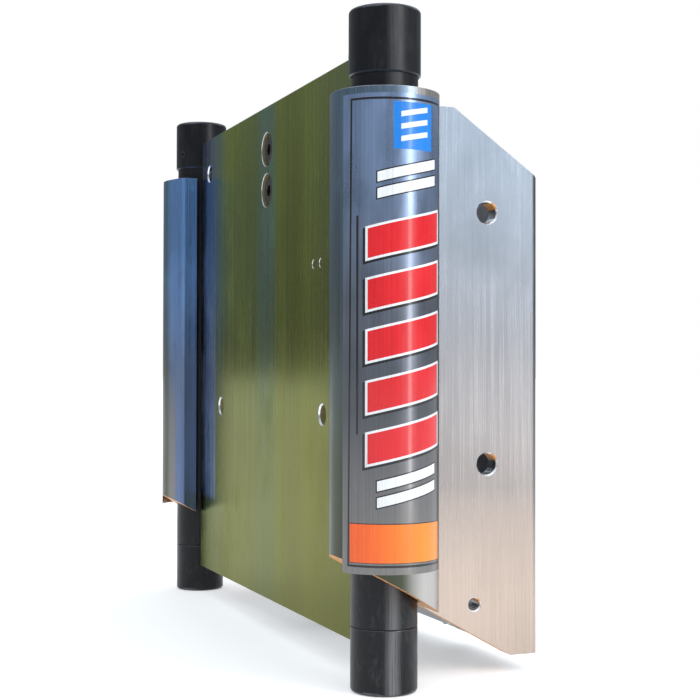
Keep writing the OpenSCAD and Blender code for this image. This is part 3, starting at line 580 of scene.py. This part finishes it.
def chamfer(work, width, wanted):
    """Cuts a bright chamfer along the square edges where wanted(face, other face, edge) is true."""
    edges = []
    for edge in work.edges:
        if len(edge.link_faces) == 2:
            one, other = edge.link_faces
            square = abs(one.normal.dot(other.normal)) < SQUARE
            if square and (wanted(one, other, edge) or wanted(other, one, edge)):
                edges.append(edge)
    bmesh.ops.bevel(work, geom=edges, offset=width, segments=1, profile=0.5, affect="EDGES",
                    material=EDGE_SLOT, clamp_overlap=True)


def chamfer_holes(work):
    """Rims of the plate's plain holes; the outline keeps its fine rounding."""
    def on_rim(face, wall, edge):
        return (abs(face.normal.y) > FACING and wall.calc_area() < WALL_AREA
                and edge.calc_length() < RIM_STEP and abs(edge.verts[0].co.x) < RIM_REACH)
    chamfer(work, RIM_CHAMFER, on_rim)


def chamfer_sleeve(work):
    """Upper and lower rims of a bracket's sleeve."""
    broadest = max(work.verts, key=lambda v: abs(v.co.x)).co
    sign = 1 if broadest.x > 0 else -1
    axis = middle_of(("starboard" if sign > 0 else "port") + "_top_cap")
    clear = 5 * MM

    def off_axis(vert):
        return Vector((vert.co.x - axis.x, vert.co.y - axis.y)).length

    radius = max(off_axis(v) for v in work.verts
                 if v.co.y < axis.y - clear and sign * (v.co.x - axis.x) > clear)

    def on_rim(face, wall, edge):
        return abs(face.normal.z) > FACING and all(
            abs(off_axis(v) - radius) < 0.1 * MM for v in edge.verts)
    chamfer(work, SLEEVE_CHAMFER, on_rim)


def dressed(node, main, edge, width, prepare=None, extras=()):
    """A copy of a node's solid with rounded edges in their own edge material, in place of it; on the
    aluminium parts that material is rubbed metal and partly a painted highlight.

    prepare works on the solid once its faces have their materials. extras are (material, wanted)
    pairs, where wanted(face) picks the material's faces.
    """
    mesh = frame["nodes"][node].data.copy()
    mesh.materials.clear()
    work = bmesh.new()
    work.from_mesh(mesh)
    bmesh.ops.remove_doubles(work, verts=work.verts, dist=WELD_GAP)
    bmesh.ops.dissolve_limit(work, angle_limit=math.radians(FLAT_ANGLE), verts=work.verts,
                             edges=work.edges)
    for face in work.faces:
        face.material_index = EDGE_SLOT if is_chamfer(face) else 0
        face.smooth = True
        for k, (_, wanted) in enumerate(extras):
            if wanted(face):
                face.material_index = EXTRA_SLOT + k
    if prepare:
        prepare(work)
    work.to_mesh(mesh)
    work.free()
    for material in (main, edge, *(material for material, _ in extras)):
        mesh.materials.append(material)
    piece = add_object("dressed_" + node, mesh)
    rounding = piece.modifiers.new("rounded_edges", "BEVEL")
    rounding.width = width
    rounding.segments = 2
    rounding.limit_method = "ANGLE"
    rounding.angle_limit = math.radians(SHARP_ANGLE)
    rounding.material = EDGE_SLOT
    shading = piece.modifiers.new("flat_faces_stay_flat", "WEIGHTED_NORMAL")
    shading.mode = "FACE_AREA"
    shading.weight = 100
    shading.keep_sharp = False
    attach(piece, body_of(node))
    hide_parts(node)


def dress_all(nodes, main, edge, width, prepare=None, extras=()):
    for node in nodes:
        dressed(node, main, edge, width, prepare, extras)


# Label
def sides_of(outline):
    """The pairs of points at the ends of an outline's sides."""
    return zip(outline, outline[1:] + outline[:1])


def inside(point, outline):
    """True where a point of the flat sheet lies inside an outline."""
    x, y = point
    result = False
    for (ax, ay), (bx, by) in sides_of(outline):
        if (ay > y) != (by > y) and x < ax + (y - ay) / (by - ay) * (bx - ax):
            result = not result
    return result


def box_outline(left, low, right, high):
    return [(left, low), (right, low), (right, high), (left, high)]


def slanted_bar(left, low, right, height, rise, grow=0.0, shift=(0, 0)):
    """A bar that climbs to the right, grown on every side."""
    slope = rise / (right - left)
    left, right = left - grow + shift[0], right + grow + shift[0]
    start = low - slope * grow + shift[1] - grow
    end = start + slope * (right - left)
    top = height + 2 * grow
    return [(left, start), (right, end), (right, end + top), (left, start + top)]


def label_motifs(height):
    """(ink, outline) in millimetres from the flat sheet's lower aft corner; later ones on top."""
    line, aft_low, aft_high = 1.4, 4.2, 6.1
    fore, low, high = LABEL_WIDTH - 1.6, 4.2, height - 2.7
    frame_aft = [(aft_low, low), (aft_low + line, low), (aft_high + line, high), (aft_high, high)]
    motifs = [
        ("black", box_outline(aft_low, low, fore, low + line)),
        ("black", box_outline(aft_high, high - line, fore, high)),
        ("black", frame_aft),
        ("black", box_outline(fore - line, low, fore, high)),
        ("black", box_outline(5.0, 6.6, fore, 30.7)),
        ("orange", box_outline(6.0, 7.0, fore - line, 30.1)),
        ("blue", box_outline(33.8, 256.0, 61.8, 284.6)),
    ]
    for step in range(3):
        motifs.append(("white", slanted_bar(38.5, 260.5 + 7.5 * step, 57.8, 3.2, 4.0)))
    for bar_low in (40.0, 50.0, 226.0, 236.0):
        bar = (24.0, bar_low, 66.0, 6.0, 10.0)
        motifs.append(("black", slanted_bar(*bar, 0.8)))
        motifs.append(("white", slanted_bar(*bar)))
    for step in range(5):
        bar = (18.0, 66.0 + 31.0 * step, 70.0, 18.0, 12.0)
        motifs.append(("black", slanted_bar(*bar, 2.0, (-1.2, -1.4))))
        motifs.append(("white", slanted_bar(*bar, 1.5)))
        motifs.append(("red", slanted_bar(*bar)))
    motifs.append(("black", box_outline(10.5, 84.0, 12.0, 216.0)))
    return motifs


def label_cuts(motifs):
    """(point, normal) of each line that cuts the sheet: where it bends, and along the print."""
    cuts = [((LABEL_STEP * k, 0), (1, 0)) for k in range(1, int(LABEL_WIDTH / LABEL_STEP))]
    for _, outline in motifs:
        for (ax, ay), (bx, by) in sides_of(outline):
            cuts.append(((ax, ay), (by - ay, ax - bx)))
    return cuts


def label_sheet(side, node, inks):
    """The label as one closed sheet round its sleeve, with printed shapes as faces of their own."""
    low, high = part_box(node)
    axis = middle_of(side + "_top_cap")
    sign = 1 if side == "starboard" else -1
    radius = sign * ((high if sign > 0 else low).x - axis.x)
    height = (high.z - low.z) / MM
    motifs = label_motifs(height)
    names = list(inks)
    work = bmesh.new()
    work.faces.new([work.verts.new((x, y, 0)) for x, y in box_outline(0, 0, LABEL_WIDTH, height)])
    for (x, y), (nx, ny) in label_cuts(motifs):
        everything = work.verts[:] + work.edges[:] + work.faces[:]
        bmesh.ops.bisect_plane(work, geom=everything, plane_co=(x, y, 0), plane_no=(nx, ny, 0),
                               dist=CUT_REACH)
    for face in work.faces:
        middle = face.calc_center_median()
        ink = "film"
        for name, outline in motifs:
            if inside((middle.x, middle.y), outline):
                ink = name
        face.material_index = names.index(ink)
        face.smooth = True
    made = bmesh.ops.extrude_face_region(work, geom=work.faces[:])
    for vert in (v for v in made["geom"] if isinstance(v, bmesh.types.BMVert)):
        vert.co.z = LABEL_T
    for vert in work.verts:
        angle = vert.co.x * MM / radius - LABEL_AFT_ANGLE
        reach = radius - LABEL_T * MM + vert.co.z * MM
        vert.co = (axis.x + sign * reach * math.cos(angle), axis.y + reach * math.sin(angle),
                   low.z + vert.co.y * MM)
    bmesh.ops.recalc_face_normals(work, faces=work.faces)
    mesh = bpy.data.meshes.new(node)
    work.to_mesh(mesh)
    work.free()
    for material in inks.values():
        mesh.materials.append(material)
    mesh.normals_split_custom_set(round_normals(mesh, axis))
    piece = add_object("dressed_" + node, mesh)
    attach(piece, body_of(node))
    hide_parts(node)


def round_normals(mesh, axis):
    """A normal for each face corner: straight out from the axis on the sheet's two broad sides."""
    normals = []
    for polygon in mesh.polygons:
        for corner in polygon.vertices:
            out = mesh.vertices[corner].co - axis
            out.z = 0
            out.normalize()
            facing = out.dot(polygon.normal)
            if abs(facing) > 0.9:
                normals.append(out if facing > 0 else -out)
            else:
                normals.append(polygon.normal.copy())
    return normals


# Stage
def make_camera():
    data = bpy.data.cameras.new("camera")
    data.sensor_width = SENSOR_WIDTH
    data.lens = SENSOR_WIDTH * FOCAL_PX / IMAGE_SIDE
    data.clip_start = CLIP_START
    data.clip_end = CLIP_END
    camera = add_object("camera", data)
    turn = (Matrix.Rotation(math.radians(CAMERA_YAW), 4, "Z")
            @ Matrix.Rotation(math.radians(90 + CAMERA_PITCH), 4, "X")
            @ Matrix.Rotation(math.radians(CAMERA_ROLL), 4, "Z"))
    camera.matrix_world = Matrix.Translation(CAMERA_PLACE) @ turn
    bpy.context.scene.camera = camera


def make_floor():
    material, tree, shader = start_material("pale_floor")
    tree.links.new(mix(tree, noise(tree, (3, 3, 3)), (0.86, 0.86, 0.86), (0.9, 0.9, 0.9)),
                   shader.inputs["Base Color"])
    shader.inputs["Roughness"].default_value = 0.9
    shader.inputs["Specular IOR Level"].default_value = 0.1
    shader.inputs["Emission Color"].default_value = (1, 1, 1, 1)
    shader.inputs["Emission Strength"].default_value = FLOOR_GLOW
    mesh = bpy.data.meshes.new("floor")
    work = bmesh.new()
    bmesh.ops.create_grid(work, x_segments=8, y_segments=8, size=FLOOR_REACH,
                          matrix=Matrix.Translation((0, 0, FLOOR_Z)))
    work.to_mesh(mesh)
    work.free()
    mesh.materials.append(material)
    floor = add_object("floor", mesh)


def add_light_box(name, place, width, height, power):
    data = bpy.data.lights.new(name, "AREA")
    data.shape = "RECTANGLE"
    data.size = width
    data.size_y = height
    data.energy = power
    light = add_object(name, data)
    light.location = place
    aim = Vector(LIGHT_AIM) - Vector(place)
    light.rotation_euler = aim.to_track_quat("-Z", "Y").to_euler()
    light.visible_camera = False


def make_light():
    """White behind the part for the camera; a softer room, lighter overhead, for all the rest."""
    world = bpy.data.worlds.new("studio")
    world.use_nodes = True
    tree = world.node_tree
    background = tree.nodes["Background"]
    room = ramp(tree, spread(tree, axis_value(tree, "Z", "Generated"), -0.1, 0.9),
                [(0.0, (0.15, 0.155, 0.15)), (1.0, (0.74, 0.84, 0.95))])
    ray = add_node(tree, "ShaderNodeLightPath")
    tree.links.new(mix(tree, ray.outputs["Is Camera Ray"], room, (1.0, 1.0, 1.0)),
                   background.inputs["Color"])
    bpy.context.scene.world = world
    add_light_box("side_box", (2.0, 0.9, 0.5), 1.3, 2.2, 6.0)
    add_light_box("tall_strip", (1.5, 0.66, 0.1), 0.2, 1.8, 9)
    broad = bpy.data.lights.new("broad_overhead", "SUN")
    broad.energy = SUN_POWER
    broad.angle = math.radians(SUN_SPREAD)
    overhead = add_object("broad_overhead", broad)
    overhead.rotation_euler = (math.radians(SUN_TILT[0]), math.radians(SUN_TILT[1]), 0)
    bpy.context.scene.view_settings.view_transform = "Standard"


make_camera()
make_floor()
make_light()

# Edges of the aluminium parts much brighter than their faces: partly rubbed metal, partly a painted
# highlight
edge_wear_and_highlight = edge_metal("edge_wear_and_highlight", (0.85, 0.87, 0.90))
dark_edge = edge_metal("rubbed_black_edge", (0.10, 0.10, 0.11), 0.28)
steel_edge = edge_metal("steel_edge", (0.72, 0.72, 0.74))
brushed_up = brushed_metal("brushed_aluminium", "z", bracket_colour, 0.3, 0.5, 0.09)
brushed_across = brushed_metal("brushed_aluminium_across", "x", plain_colour((0.50, 0.51, 0.53)))
# Lower faces of the arms in a warm tone: a painted reflection of the ground
warm_reflection_face = machined_metal("aluminium_below", (0.80, 0.36, 0.11), 0.45, 0.3)
# Hole walls in a gold tone that paints in the olive reflections of the plate
bore_wall = machined_metal("bored_aluminium", (0.40, 0.35, 0.19), 0.4, 0.6)
# The plate's yellowish edge tint adds to its painted olive reflection
plate_metal = brushed_metal("plate_aluminium", "z", plate_colour, 0.22, 0.7, 0.18,
                            (0.87, 0.87, 0.75))
machined = machined_metal("machined_aluminium", (0.52, 0.53, 0.55))
steel = machined_metal("stainless_steel", (0.50, 0.49, 0.48), 0.24)
dark_steel = machined_metal("dark_steel", (0.02, 0.013, 0.011), 0.45, 0.5)
anodised = black_anodised()
paint = black_paint()
bright_chrome = chrome()
bushing = soft_plastic("bushing_plastic", (0.80, 0.78, 0.70), 0.45, 0.1)
rubber = soft_plastic("seal_rubber", (0.02, 0.02, 0.02), 0.6, 0.3)
film = printed_film("label_film", film_reflection_colour, 0.9)

dress_all(BRACKETS, brushed_up, edge_wear_and_highlight, FINE_ROUND, chamfer_sleeve,
          [(warm_reflection_face, is_warm_reflection_face)])
dress_all(CROSS_PIECES, brushed_across, edge_wear_and_highlight, BROAD_ROUND)
dress_all(["motor_plate"], plate_metal, edge_wear_and_highlight, BROAD_ROUND,
          chamfer_holes, [(bore_wall, is_hole_wall)])
dress_all(MACHINED, machined, edge_wear_and_highlight, SMALL_ROUND)
dress_all(TUBES + TUBE_ENDS, anodised, dark_edge, SMALL_ROUND)
dress_all(PAINTED, paint, dark_edge, SMALL_ROUND)
dress_all(["piston_rod"], bright_chrome, steel_edge, SMALL_ROUND)
dress_all(STEEL, steel, steel_edge, SMALL_ROUND)
dress_all(DARK_SCREWS, dark_steel, dark_edge, SMALL_ROUND)
dress_all(BUSHINGS, bushing, bushing, SMALL_ROUND)
dress_all(RUBBER, rubber, rubber, SMALL_ROUND)
inks = {
    "film": film,
    "red": printed_film("ink_red", (0.62, 0.012, 0.018)),
    "white": printed_film("ink_white", (0.72, 0.73, 0.74)),
    "black": printed_film("ink_black", (0.012, 0.012, 0.014)),
    "blue": printed_film("ink_blue", (0.012, 0.19, 0.62)),
    "orange": printed_film("ink_orange", orange_colour),
}
for side in ("starboard", "port"):
    label_sheet(side, side + "_label", inks)
